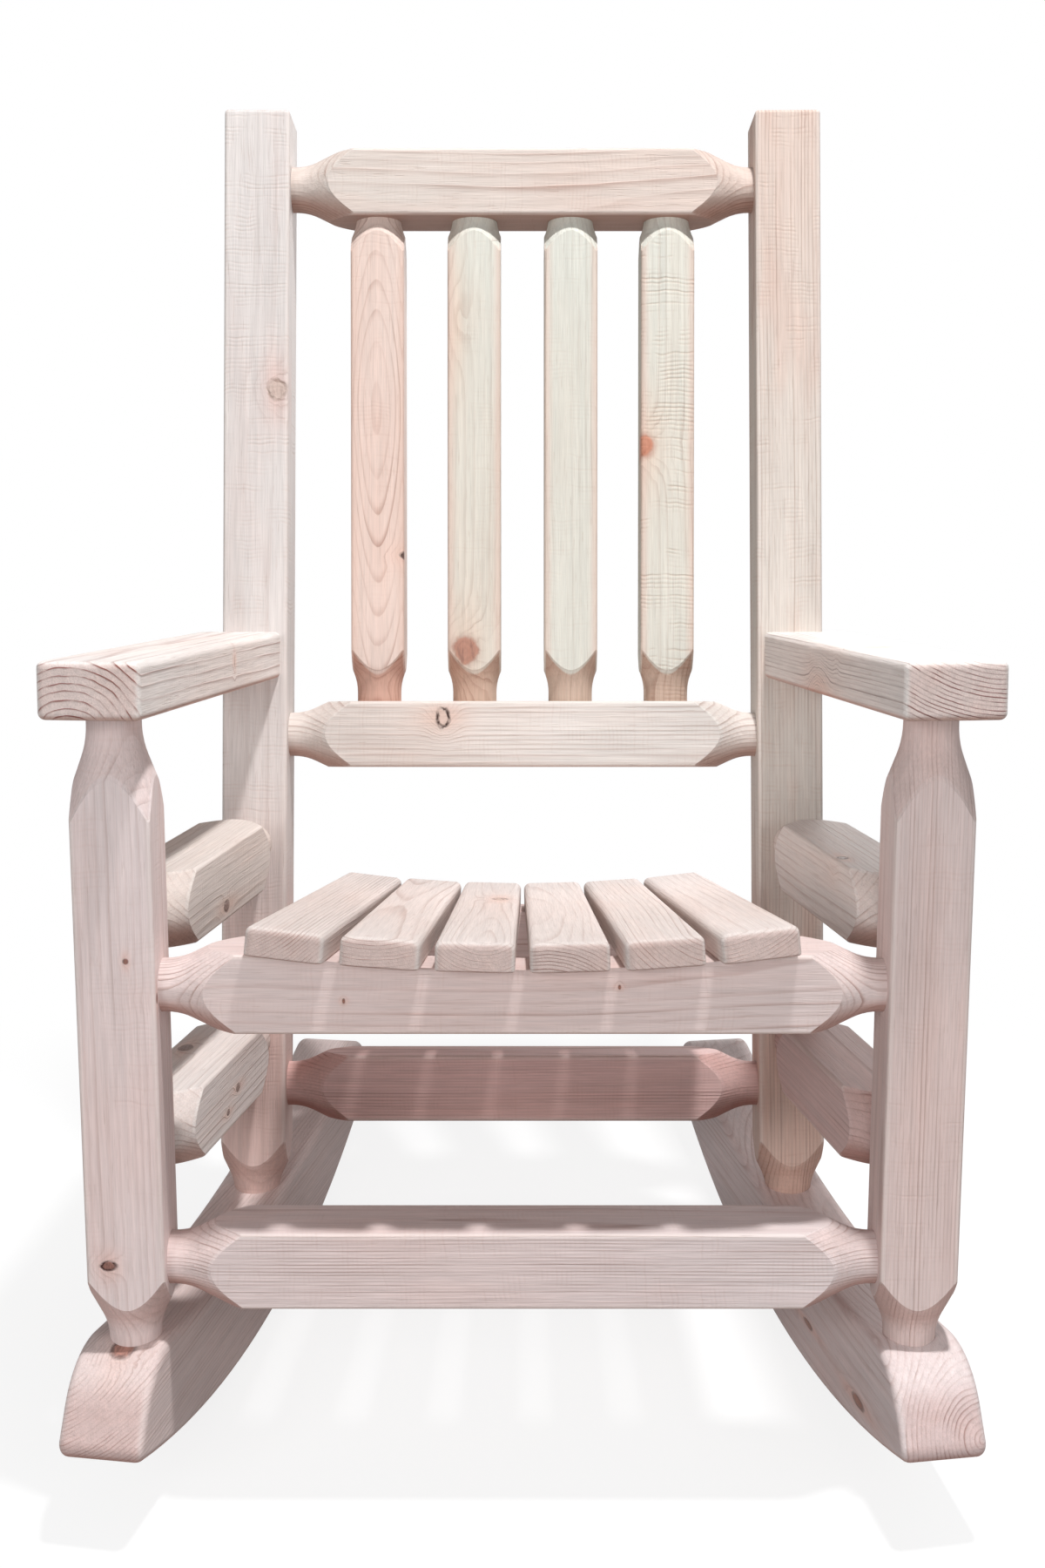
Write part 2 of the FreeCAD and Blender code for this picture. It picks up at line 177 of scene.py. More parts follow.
def makeRingGroup():
    look = ringLook
    inputs = {"Local": (0, 0, 0), "Pith": (0, 0, 0), "Spacing": 0.004, "Drift": 0.004, "Bow": 0.0}
    inputs |= {"Bow Place": 0.2, "Line": 0.58, "Lift": 0.0, "Seed": 0.0}
    tree, given, result = newGroup("growthRings", inputs, {"Late": "Float"})
    seed = given["Seed"]
    x, y, z = put(tree, "SeparateXYZ", {"Vector": given["Local"]}).outputs
    pith = put(tree, "SeparateXYZ", {"Vector": given["Pith"]}).outputs
    driftColour = noise(tree, stretched(tree, (x, y, z), (look["driftScale"], 0, 0)), seed, 1.0, 1)
    drift = put(tree, "SeparateXYZ", {"Vector": driftColour}).outputs
    reach = calc(tree, "MULTIPLY", given["Drift"], 2.0)
    fromBow = calc(tree, "SUBTRACT", x, given["Bow Place"])
    bow = calc(tree, "SQRT", calc(tree, "MULTIPLY_ADD", fromBow, fromBow, look["bowSoftness"] ** 2))
    bow = calc(tree, "MULTIPLY", bow, given["Bow"])
    offY = calc(tree, "ADD", calc(tree, "SUBTRACT", y, pith[1]), around(tree, drift[1], reach))
    offZ = calc(tree, "ADD", calc(tree, "SUBTRACT", z, pith[2]), around(tree, drift[2], reach))
    offZ = calc(tree, "ADD", offZ, bow)
    radius = calc(tree, "SQRT", calc(tree, "MULTIPLY_ADD", offY, offY, calc(tree, "MULTIPLY", offZ, offZ)))
    # rings waver, and their widths differ
    wobble = noise(tree, stretched(tree, (x, y, z), look["wobbleScale"]), otherSeed(tree, seed, 3.0), 2.0)
    wobble = around(tree, wobble, calc(tree, "MULTIPLY", given["Spacing"], look["wobbleShare"]))
    lifted = calc(tree, "ADD", calc(tree, "ADD", radius, given["Lift"]), wobble)
    widths = stretched(tree, (lifted, y, z), (look["widthScale"], 0, 0))
    widths = around(tree, noise(tree, widths, otherSeed(tree, seed, 5.0)), look["widthRange"])
    phase = calc(tree, "ADD", calc(tree, "DIVIDE", lifted, given["Spacing"]), widths)
    # a year darkens slowly and ends at once
    within = calc(tree, "FRACT", phase)
    lineStart = calc(tree, "SUBTRACT", look["darkest"], given["Line"])
    rise = calc(tree, "POWER", ease(tree, within, lineStart, look["darkest"]), 2.0)
    fall = calc(tree, "SUBTRACT", 1.0, ease(tree, within, look["darkest"], 1.0))
    yearNumber = calc(tree, "ADD", calc(tree, "FLOOR", phase), seed)
    year = put(tree, "TexWhiteNoise", {"W": yearNumber}, noise_dimensions="1D").outputs[0]
    strength = calc(tree, "MULTIPLY_ADD", year, look["yearRange"], look["yearLeast"])
    fading = noise(tree, stretched(tree, (x, y, z), look["fadingScale"]), otherSeed(tree, seed, 8.0), 2.0)
    fading = ease(tree, fading, *look["fadingRange"])
    fading = calc(tree, "MULTIPLY_ADD", fading, look["fadingShare"], 1 - look["fadingShare"])
    strength = calc(tree, "MULTIPLY", strength, fading)
    tree.links.new(calc(tree, "MULTIPLY", calc(tree, "MULTIPLY", rise, fall), strength), result["Late"])
    return tree


# Fibres along the timber, and the short dark dashes of resin ducts

fibreLook = {
    "streakScale": (8, 240, 240),
    "hairScale": (38, 1150, 1150),
    "ductScale": (60, 850, 850),
    "ductRange": (0.71, 0.8),
}


def makeFibreGroup():
    look = fibreLook
    outputs = {"Streak": "Float", "Hair": "Float", "Duct": "Float"}
    tree, given, result = newGroup("woodFibres", {"Local": (0, 0, 0), "Seed": 0.0}, outputs)
    seed = given["Seed"]
    parts = put(tree, "SeparateXYZ", {"Vector": given["Local"]}).outputs
    duct = noise(tree, stretched(tree, parts, look["ductScale"]), otherSeed(tree, seed, 9.0), 0.0)
    tree.links.new(noise(tree, stretched(tree, parts, look["streakScale"]), seed, 3.0), result["Streak"])
    tree.links.new(noise(tree, stretched(tree, parts, look["hairScale"]), seed), result["Hair"])
    tree.links.new(ease(tree, duct, *look["ductRange"]), result["Duct"])
    return tree


# A knot: a branch that comes out of the timber at a place, and bends the rings round it

knotLook = {
    "raggedScale": 0.9,  # per radius of the knot
    "ragged": 1.1,
    "branchStart": (-0.03, -0.014),  # the branch stops inside the timber
    "core": (0.72, 1.06),  # shares of the radius
    "rimInside": (0.66, 0.95),
    "rimOutside": (1.02, 1.35),
    "rimPatches": (0.35, 0.6),
    "rimShare": 0.75,
    "yearTurns": 15.0,
    "yearShare": 0.1,
    "crackFineness": 4.0,
    "crackRange": (0.42, 0.72),
    "crackShare": 0.65,
    "haloFall": 0.22,
    "lift": 1.7,
    "stainLength": 4.0,
    "stainFall": 0.35,
}


def makeKnotGroup():
    look = knotLook
    inputs = {"Local": (0, 0, 0), "Place": (0, 0, 0), "Outward": (0, 0, 1), "Radius": 0.006, "Oval": 1.0}
    inputs |= {"Fill": 0.9, "Ring": 0.7, "Seed": 0.0}
    outputs = {"Core": "Float", "Rim": "Float", "Eye": "Float", "Halo": "Float", "Lift": "Float"}
    tree, given, result = newGroup("branchKnot", inputs, outputs)
    seed, radius = given["Seed"], given["Radius"]
    away = put(tree, "VectorMath", {0: given["Local"], 1: given["Place"]}, operation="SUBTRACT").outputs[0]
    dot = put(tree, "VectorMath", {0: away, 1: given["Outward"]}, operation="DOT_PRODUCT")
    depth = dot.outputs["Value"]
    x, y, z = put(tree, "SeparateXYZ", {"Vector": away}).outputs
    across = calc(tree, "ADD", calc(tree, "MULTIPLY", y, y), calc(tree, "MULTIPLY", z, z))
    across = calc(tree, "MAXIMUM", calc(tree, "SUBTRACT", across, calc(tree, "MULTIPLY", depth, depth)), 0.0)
    squeezed = calc(tree, "DIVIDE", x, given["Oval"])
    distance = calc(tree, "SQRT", calc(tree, "MULTIPLY_ADD", squeezed, squeezed, across))
    size = calc(tree, "DIVIDE", look["raggedScale"], radius)
    rough = noise(tree, stretched(tree, (squeezed, y, z), (size, size, size)), seed, 4.0)
    share = calc(tree, "ADD", calc(tree, "DIVIDE", distance, radius), around(tree, rough, look["ragged"]))
    # heart and rim
    core = calc(tree, "SUBTRACT", 1.0, ease(tree, share, *look["core"]))
    outside = calc(tree, "SUBTRACT", 1.0, ease(tree, share, *look["rimOutside"]))
    rim = calc(tree, "MULTIPLY", ease(tree, share, *look["rimInside"]), outside)
    patches = ease(tree, rough, *look["rimPatches"])
    patches = calc(tree, "MULTIPLY_ADD", patches, look["rimShare"], 1 - look["rimShare"])
    rim = calc(tree, "MULTIPLY", calc(tree, "MULTIPLY", rim, patches), given["Ring"])
    # the heart's own years and cracks
    years = calc(tree, "SINE", calc(tree, "MULTIPLY", share, look["yearTurns"]))
    years = calc(tree, "MULTIPLY_ADD", years, look["yearShare"], look["yearShare"])
    fine = calc(tree, "MULTIPLY", size, look["crackFineness"])
    cracks = noise(tree, stretched(tree, (squeezed, y, z), (size, fine, fine)), seed, 3.0)
    eye = calc(tree, "MULTIPLY_ADD", ease(tree, cracks, *look["crackRange"]), look["crackShare"], years)
    eye = calc(tree, "MULTIPLY", eye, core)
    core = calc(tree, "MULTIPLY", core, given["Fill"])
    halo = calc(tree, "MULTIPLY", calc(tree, "MULTIPLY", share, share), -look["haloFall"])
    lift = calc(tree, "MULTIPLY", calc(tree, "EXPONENT", halo), calc(tree, "MULTIPLY", radius, look["lift"]))
    # a warm stain that runs out along the grain
    reach = calc(tree, "DIVIDE", squeezed, calc(tree, "MULTIPLY", radius, look["stainLength"]))
    breadth = calc(tree, "DIVIDE", across, calc(tree, "MULTIPLY", radius, radius))
    stain = calc(tree, "MULTIPLY_ADD", reach, reach, calc(tree, "MULTIPLY", breadth, look["stainFall"]))
    stain = calc(tree, "EXPONENT", calc(tree, "MULTIPLY", stain, -1.0))
    near = ease(tree, depth, *look["branchStart"])
    for name, value in (("Core", core), ("Rim", rim), ("Eye", eye), ("Halo", stain), ("Lift", lift)):
        tree.links.new(calc(tree, "MULTIPLY", value, near), result[name])
    return tree


# Where a surface lies on a squared timber: along its eased edges, or on its turned ends

formLook = {
    "edgeStart": 0.0008,  # metres in from the squared faces
    "faceDepth": (0.0009, 0.0016),
    "turnedDepth": (0.001, 0.0019),
}


def makeFormGroup():
    look = formLook
    inputs = {"Local": (0, 0, 0), "Half Side": (0, 0.028, 0.028), "Edge Width": 0.005}
    tree, given, result = newGroup("timberForm", inputs, {"Edge": "Float", "Turned": "Float"})
    local = put(tree, "SeparateXYZ", {"Vector": given["Local"]}).outputs
    half = put(tree, "SeparateXYZ", {"Vector": given["Half Side"]}).outputs
    inY = calc(tree, "SUBTRACT", half[1], calc(tree, "ABSOLUTE", local[1]))
    inZ = calc(tree, "SUBTRACT", half[2], calc(tree, "ABSOLUTE", local[2]))
    depth = calc(tree, "MINIMUM", inY, inZ)
    edge = ease(tree, calc(tree, "MAXIMUM", inY, inZ), look["edgeStart"], given["Edge Width"])
    edge = calc(tree, "SUBTRACT", 1.0, edge)
    onFace = calc(tree, "SUBTRACT", 1.0, ease(tree, depth, *look["faceDepth"]))
    tree.links.new(calc(tree, "MULTIPLY", edge, onFace), result["Edge"])
    tree.links.new(ease(tree, depth, *look["turnedDepth"]), result["Turned"])
    return tree


# Planer and saw marks across the grain, in patches

millLook = {
    "unevenScale": (18, 30, 30),
    "unevenTurns": 3.0,
    "sharpness": 1.6,
    "patchScale": (22, 45, 45),
    "patchRange": (0.4, 0.62),
}


def makeMillGroup():
    look = millLook
    inputs = {"Local": (0, 0, 0), "Pitch": 0.005, "Seed": 0.0}
    tree, given, result = newGroup("millMarks", inputs, {"Ripple": "Float"})
    seed = given["Seed"]
    parts = put(tree, "SeparateXYZ", {"Vector": given["Local"]}).outputs
    uneven = noise(tree, stretched(tree, parts, look["unevenScale"]), seed, 2.0)
    turns = calc(tree, "DIVIDE", parts[0], given["Pitch"])
    turns = calc(tree, "ADD", turns, calc(tree, "MULTIPLY", uneven, look["unevenTurns"]))
    wave = calc(tree, "COSINE", calc(tree, "MULTIPLY", turns, 2 * math.pi))
    wave = calc(tree, "POWER", calc(tree, "MULTIPLY_ADD", wave, -0.5, 0.5), look["sharpness"])
    stroke = put(tree, "TexWhiteNoise", {"W": calc(tree, "FLOOR", turns)}, noise_dimensions="1D").outputs[0]
    patch = noise(tree, stretched(tree, parts, look["patchScale"]), otherSeed(tree, seed, 2.0), 2.0)
    patch = ease(tree, patch, *look["patchRange"])
    tree.links.new(calc(tree, "MULTIPLY", calc(tree, "MULTIPLY", wave, stroke), patch), result["Ripple"])
    return tree


ringGroup = makeRingGroup()
fibreGroup = makeFibreGroup()
knotGroup = makeKnotGroup()
formGroup = makeFormGroup()
millGroup = makeMillGroup()


# Pale unfinished pine, from all of these

pineDefaults = {
    "Local": (0, 0, 0),
    "Normal": (0, 0, 1),
    "Axis": (1, 0, 0),
    "Half Side": (0, 0.0285, 0.0285),
    "Pith": (0, 0.01, -0.05),
    "Spacing": 0.0038,
    "Drift": 0.005,
    "Bow": 0.0,
    "Bow Place": 0.2,
    "Seed": 0.0,
    "Early": linear(238, 222, 213),
    "Latewood": linear(206, 168, 154),
    "Contrast": 0.85,
    "Line": 0.58,
    "End Contrast": 0.5,
    "Fibre": 1.0,
    "Blush": linear(255, 234, 226),
    "Blush Place": 0.2,
    "Blush Reach": 0.2,
    "Blush Amount": 0.3,
    "Foot Blush": 0.0,
    # a painted highlight where the eased edges catch the light
    "Edge Tint": linear(244, 234, 228),
    "Edge Amount": 0.35,
    "Edge Width": 0.005,
    "Turned Amount": 0.2,
    "Turned Reach": 9.0,
    # painted shade on the turned ends
    "Turned Shade Tint": linear(234, 214, 206),
    # painted shade on surfaces that face down
    "Underside Shade Tint": linear(214, 188, 180),
    "Ripple Amount": 0.16,
    "Ripple Pitch": 0.0036,
    "Knot Lift": 0.0,
    "Knot Core": 0.0,
    "Knot Rim": 0.0,
    "Knot Eye": 0.0,
    "Knot Halo": 0.0,
    "Knot Tint": linear(168, 112, 92),
    "Rim Tint": linear(92, 60, 52),
}
pineLook = {
    "endGrainRange": (0.6, 0.95),
    "turnedLines": 0.6,
    "cloudScale": (3.5, 22, 22),
    "cloudRange": 0.2,
    "cloudLeast": 0.9,
    "strands": {"Streak": 0.28, "Hair": 0.28},
    "patchScale": (7, 30, 30),
    "patchRange": (0.45, 0.7),
    "patchShare": 0.6,
    "stainShare": 0.8,
    "footRange": (0.12, 0.4),  # metres along the timber
    # how far a face must look down before it takes its painted shade
    "undersideShadeRange": (0.0, 0.6),
    "endTint": linear(236, 224, 222),
    "rippleTint": linear(236, 219, 211),
    "ductTint": linear(176, 134, 116),
    "ductShare": 0.12,
    "eyeMost": 0.8,
    "roughness": 0.56,
    "roughShares": {"Streak": 0.16, "End Grain": 0.14, "Knot Core": -0.12},
    "heightShares": {
        "Late": 0.45, "Streak": 0.55, "Hair": 0.3, "Ripple": -0.9, "Duct": -0.2, "Knot Rim": -0.9,
    },
    "bump": {"Strength": 0.8, "Distance": 0.0008},
    "specular": 0.2,
}


def makePineGroup():
    look = pineLook
    outputs = {"Colour": "Color", "Roughness": "Float", "Height": "Float"}
    tree, given, result = newGroup("palePine", pineDefaults, outputs)
    local, seed = given["Local"], given["Seed"]
    parts = put(tree, "SeparateXYZ", {"Vector": local}).outputs
    ringInputs = {"Lift": given["Knot Lift"], "Local": local, "Seed": seed}
    ringInputs |= {key: given[key] for key in ("Pith", "Spacing", "Drift", "Bow", "Bow Place", "Line")}
    late = useGroup(tree, ringGroup, ringInputs)["Late"]
    fibres = useGroup(tree, fibreGroup, {"Local": local, "Seed": seed})
    formInputs = {"Local": local, "Half Side": given["Half Side"], "Edge Width": given["Edge Width"]}
    form = useGroup(tree, formGroup, formInputs)
    millInputs = {"Local": local, "Pitch": given["Ripple Pitch"], "Seed": seed}
    ripple = useGroup(tree, millGroup, millInputs)["Ripple"]
    ripple = calc(tree, "MULTIPLY", ripple, given["Ripple Amount"])

    dot = put(tree, "VectorMath", {0: given["Normal"], 1: given["Axis"]}, operation="DOT_PRODUCT")
    endGrain = ease(tree, calc(tree, "ABSOLUTE", dot.outputs["Value"]), *look["endGrainRange"])
    turned = calc(tree, "MULTIPLY", form["Turned"], given["Turned Amount"])
    turned = calc(tree, "MULTIPLY", turned, calc(tree, "SUBTRACT", 1.0, endGrain))
    turned = calc(tree, "MULTIPLY", turned, calc(tree, "LESS_THAN", parts[0], given["Turned Reach"]))
    # the dark lines stand out more on end grain and on turned ends
    bolder = calc(tree, "MULTIPLY_ADD", turned, look["turnedLines"], 1.0)
    bolder = calc(tree, "MULTIPLY_ADD", endGrain, given["End Contrast"], bolder)
    lines = calc(tree, "MULTIPLY", calc(tree, "MULTIPLY", late, given["Contrast"]), bolder)
    colour = blend(tree, lines, given["Early"], given["Latewood"])
    # broad clouds of tone, then the fibres
    cloud = noise(tree, stretched(tree, parts, look["cloudScale"]), otherSeed(tree, seed, 7.0), 2.0)
    tone = calc(tree, "MULTIPLY_ADD", cloud, look["cloudRange"], look["cloudLeast"])
    for name, share in look["strands"].items():
        strand = around(tree, fibres[name], calc(tree, "MULTIPLY", given["Fibre"], share))
        tone = calc(tree, "MULTIPLY", tone, calc(tree, "ADD", strand, 1.0))
    colour = blend(tree, 1.0, colour, grey(tree, tone), "MULTIPLY")
    # a warmer stretch of the timber, warmer patches, stains of knots and a warmer foot
    fromPlace = calc(tree, "SUBTRACT", parts[0], given["Blush Place"])
    fromPlace = calc(tree, "DIVIDE", fromPlace, given["Blush Reach"])
    stretch = calc(tree, "MULTIPLY", calc(tree, "MULTIPLY", fromPlace, fromPlace), -1.0)
    patches = noise(tree, stretched(tree, parts, look["patchScale"]), otherSeed(tree, seed, 11.0), 2.0)
    patches = ease(tree, patches, *look["patchRange"])
    warm = calc(tree, "MULTIPLY_ADD", patches, look["patchShare"], calc(tree, "EXPONENT", stretch))
    stain = calc(tree, "MULTIPLY", given["Knot Halo"], look["stainShare"])
    warm = calc(tree, "MULTIPLY_ADD", warm, given["Blush Amount"], stain)
    foot = calc(tree, "SUBTRACT", 1.0, ease(tree, parts[0], *look["footRange"]))
    warm = calc(tree, "MINIMUM", calc(tree, "MULTIPLY_ADD", foot, given["Foot Blush"], warm), 1.0)
    colour = tinted(tree, warm, colour, given["Blush"])
    # end grain is darker; the turned ends are painted darker and redder, as painted shade
    colour = tinted(tree, turned, colour, given["Turned Shade Tint"])
    colour = tinted(tree, endGrain, colour, look["endTint"])
    # painted shade: surfaces that face down are darker and redder
    facing = put(tree, "SeparateXYZ", {"Vector": given["Normal"]}).outputs["Z"]
    under = ease(tree, calc(tree, "MULTIPLY", facing, -1.0), *look["undersideShadeRange"])
    colour = tinted(tree, under, colour, given["Underside Shade Tint"])
    # a painted highlight along the eased edges (on the spindles a pinker tone of the wood instead), mill
    # marks, resin ducts
    edge = calc(tree, "MULTIPLY", form["Edge"], given["Edge Amount"])
    colour = blend(tree, edge, colour, given["Edge Tint"])
    colour = tinted(tree, ripple, colour, look["rippleTint"])
    duct = calc(tree, "MULTIPLY", fibres["Duct"], look["ductShare"])
    colour = blend(tree, duct, colour, look["ductTint"])
    # knots
    eye = calc(tree, "MINIMUM", given["Knot Eye"], look["eyeMost"])
    heart = blend(tree, eye, given["Knot Tint"], given["Rim Tint"])
    colour = blend(tree, given["Knot Core"], colour, heart)
    colour = blend(tree, given["Knot Rim"], colour, given["Rim Tint"])
    tree.links.new(colour, result["Colour"])

    # roughness and height are sums of shares
    values = {"Late": late, "End Grain": endGrain, "Ripple": ripple}
    values |= {key: fibres[key] for key in ("Streak", "Hair", "Duct")}
    values |= {key: given[key] for key in ("Knot Core", "Knot Rim")}
    rough = summed(tree, look["roughness"], values, look["roughShares"])
    tree.links.new(rough, result["Roughness"])
    tree.links.new(summed(tree, 0.0, values, look["heightShares"]), result["Height"])
    return tree


pineGroup = makePineGroup()


def pineMaterial(name, start, turn, half, wood):
    # start and turn place the timber's own axes; wood is what differs from pineDefaults
    wood = dict(wood)
    knots = wood.pop("knots", [])
    material, tree = newMaterial(name)
    place = put(tree, "TexCoord").outputs["Object"]
    sockets = {"Vector": place, "Location": start, "Rotation": turn.to_euler()}
    local = put(tree, "Mapping", sockets, vector_type="TEXTURE").outputs[0]
    normal = put(tree, "NewGeometry").outputs["Normal"]
    pineInputs = {"Local": local, "Normal": normal, "Axis": turn.col[0], "Half Side": half}
    totals = {}
    for index, branch in enumerate(knots):
        outward = Vector(branch["face"]).normalized()
        level = branch["level"] or max(abs(part) * size for part, size in zip(outward, half))
        sideways = Vector((0, 0, 1)) if outward.y else Vector((0, 1, 0))
        spot = Vector((branch["along"], 0, 0)) + sideways * branch["across"] + outward * level
        knotInputs = {"Local": local, "Place": spot, "Outward": outward, "Seed": wood.get("Seed", 0) + index}
        knotInputs |= {key: branch[key] for key in ("Radius", "Oval", "Fill", "Ring")}
        marks = useGroup(tree, knotGroup, knotInputs)
        for part in ("Core", "Rim", "Eye", "Halo", "Lift"):
            key = "Knot " + part
            totals[key] = calc(tree, "ADD", totals[key], marks[part]) if key in totals else marks[part]
    pine = useGroup(tree, pineGroup, pineInputs | totals | wood)
    bump = put(tree, "Bump", {"Height": pine["Height"]} | pineLook["bump"]).outputs[0]
    surface = {"Base Color": pine["Colour"], "Roughness": pine["Roughness"], "Normal": bump}
    shader = put(tree, "BsdfPrincipled", surface | {"Specular IOR Level": pineLook["specular"]})
    tree.links.new(shader.outputs[0], put(tree, "OutputMaterial").inputs["Surface"])
    return material


# Where each timber lies, found from its solid

tenonCap, boardCap = 0.001, 0.008  # metres of a piece's end that its middle is taken from
aboutThatWay = 0.9  # the least cosine
acrossChair, toBack, upwards = Vector((1, 0, 0)), Vector((0, 1, 0)), Vector((0, 0, 1))


def solidPoints(node):
    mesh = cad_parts[node].data
    flat = np.empty(len(mesh.vertices) * 3, dtype=np.float32)
    mesh.vertices.foreach_get("co", flat)
    return flat.reshape(-1, 3).astype(float)


def endMiddles(points, guess, capDepth, turns=10):
    # the middles of a piece's two ends, along a guess that each turn betters
    along = np.array(guess) / np.linalg.norm(guess)
    for turn in range(turns):
        reach = points @ along
        caps = points[reach < reach.min() + capDepth], points[reach > reach.max() - capDepth]
        start, end = [(cap.min(0) + cap.max(0)) / 2 for cap in caps]
        along = (end - start) / np.linalg.norm(end - start)
    return Vector(start), Vector(end)


def faceNormal(node, direction):
    # of the largest face that looks about that way
    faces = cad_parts[node].data.polygons
    facing = [face for face in faces if face.normal.dot(direction) > aboutThatWay]
    return max(facing, key=lambda face: face.area).normal.copy()


def ownAxes(along, up):
    # X along the timber, Z towards its upper side
    along = along.normalized()
    upright = (up - along * up.dot(along)).normalized()
    return Matrix((along, upright.cross(along), upright)).transposed()


def postLine(node):
    # a post's foot and direction; its sides give that, as its top may be cut aslant
    along = faceNormal(node, -toBack).cross(faceNormal(node, acrossChair)).normalized()
    return endMiddles(solidPoints(node), along, tenonCap, 1)[0], along


footOfFront, chairUp = postLine("front_post_right")
footOfRear, backUp = postLine("rear_post_right")
chairForward = acrossChair.cross(chairUp)
backUp.x = 0

# The early wood of the timbers; late wood is darker and redder

pineTones = {
    # litMilk is paler than pine is, lightened to stand in for light these pieces lack: part painted light
    "litMilk": (241, 236, 233),
    "bright": (231, 225, 220),
    "pale": (222, 213, 209),
    "ash": (223, 216, 213),
    "cream": (221, 222, 213),
    "oat": (222, 214, 206),
    "straw": (219, 209, 202),
    "peach": (229, 211, 202),
    "rose": (236, 222, 221),
    "blush": (231, 214, 211),
    "clay": (224, 200, 197),
    # shadedUmber is redder, for the rear stretcher that sits in shade under the seat: part painted shade
    "shadedUmber": (229, 196, 192),
}
lateShare = (0.62, 0.48, 0.44)


def dressNode(node, start, turn, wood):
    wood = dict(wood)
    early = linear(*pineTones[wood.pop("tone")])
    late = [part * share for part, share in zip(early, lateShare)] + [1.0]
    half = np.abs((solidPoints(node) - np.array(start)) @ np.array(turn)).max(0)
    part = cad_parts[node]
    part.data.materials.clear()
    colours = {"Early": early, "Latewood": late}
    part.data.materials.append(pineMaterial(node, start, turn, (0, half[1], half[2]), colours | wood))


def dressTimber(node, guess, up, wood, capDepth=tenonCap):
    start, end = endMiddles(solidPoints(node), guess, capDepth)
    dressNode(node, start, ownAxes(end - start, up), wood)


def knot(face, along, across, radius, oval=1.0, fill=0.9, ring=0.7, level=None):
    # a place on a face of a timber, in its own axes; the level is the face's distance from its axis
    place = {"face": face, "along": along, "across": across, "level": level}
    return place | {"Radius": radius, "Oval": oval, "Fill": fill, "Ring": ring}


zFace, yFace, yBackFace = (0, 0, 1), (0, 1, 0), (0, -1, 0)

posts = {
    "front_post_left": {
        "tone": "rose", "Seed": 1.3, "Pith": (0, 0.06, -0.05), "Spacing": 0.0034, "Contrast": 0.42,
        "Knot Tint": linear(150, 98, 84), "Rim Tint": linear(70, 42, 38),
        "knots": [
            knot(zFace, 0.098, 0.012, 0.0055, oval=0.62, ring=1.0),
            knot(zFace, 0.322, -0.008, 0.0019),
            knot(yBackFace, 0.294, 0.023, 0.0022, oval=1.6),
        ],
    },
    "front_post_right": {
        "tone": "blush", "Seed": 2.9, "Pith": (0, -0.11, 0.02), "Spacing": 0.0029, "Contrast": 0.52,
    },
    "rear_post_left": {
        "tone": "ash", "Seed": 4.2, "Pith": (0, 0.02, -0.075), "Spacing": 0.004, "Contrast": 0.36,
        "Turned Amount": 0.3, "Ripple Amount": 0.3,
        "Blush": linear(255, 228, 222), "Blush Amount": 0.2, "Foot Blush": 0.8,
        "Knot Tint": linear(208, 190, 178), "Rim Tint": linear(162, 138, 126),
        "knots": [knot(zFace, 0.727, -0.018, 0.0075, oval=1.1, fill=0.6, ring=0.9)],
    },
    "rear_post_right": {
        "tone": "oat", "Seed": 5.8, "Pith": (0, -0.13, 0.0), "Spacing": 0.0031, "Contrast": 0.62,
        "Turned Amount": 0.3, "Ripple Amount": 0.3, "Blush": linear(255, 228, 220),
        "Blush Place": 0.98, "Blush Reach": 0.24, "Blush Amount": 0.5, "Foot Blush": 0.9,
    },
}
for node, wood in posts.items():
    start, along = postLine(node)
    dressNode(node, start, ownAxes(along, chairForward), wood)
print("posts dressed")

rails = {
    "top_back_rail": {
        "tone": "straw", "up": backUp, "Seed": 7.1, "Pith": (0, 0.09, -0.03), "Spacing": 0.0028,
        "Contrast": 0.6, "Blush Place": 0.34,
    },
    "lower_back_rail": {
        "tone": "bright", "up": backUp, "Seed": 8.4, "Pith": (0, 0.02, -0.06), "Spacing": 0.0032,
        "Contrast": 0.55, "Blush Place": 0.12, "Blush Reach": 0.08,
        "Knot Tint": linear(214, 186, 172), "Rim Tint": linear(66, 46, 42),
        "knots": [knot(yBackFace, 0.155, 0.014, 0.008, oval=0.68, fill=0.12, ring=1.0)],
    },
    "front_seat_rail": {
        "tone": "blush", "up": chairUp, "Seed": 9.9, "Pith": (0, 0.1, 0.03), "Spacing": 0.0026,
        "Line": 0.46, "Turned Amount": 0.0,
        "Blush Place": 0.2755, "Blush Reach": 0.16, "Blush Amount": 0.25,
        "knots": [
            knot(yBackFace, 0.151, -0.004, 0.0018, oval=0.5),
            knot(yBackFace, 0.343, 0.006, 0.0016, oval=0.6),
        ],
    },
    "rear_seat_rail": {
        "tone": "blush", "up": backUp, "Seed": 11.6, "Pith": (0, -0.06, 0.05), "Spacing": 0.0045,
    },
    "front_stretcher": {
        "tone": "rose", "up": chairUp, "Seed": 12.7, "Pith": (0, -0.01, -0.12), "Spacing": 0.0026,
        "Line": 0.46, "Drift": 0.003,
    },
    "rear_stretcher": {
        "tone": "shadedUmber", "up": backUp, "Seed": 14.5, "Pith": (0, 0.0, -0.1), "Spacing": 0.0025,
        "Line": 0.46,
    },
}
for node, wood in rails.items():
    dressTimber(node, acrossChair, wood.pop("up"), wood)
print("cross rails dressed")

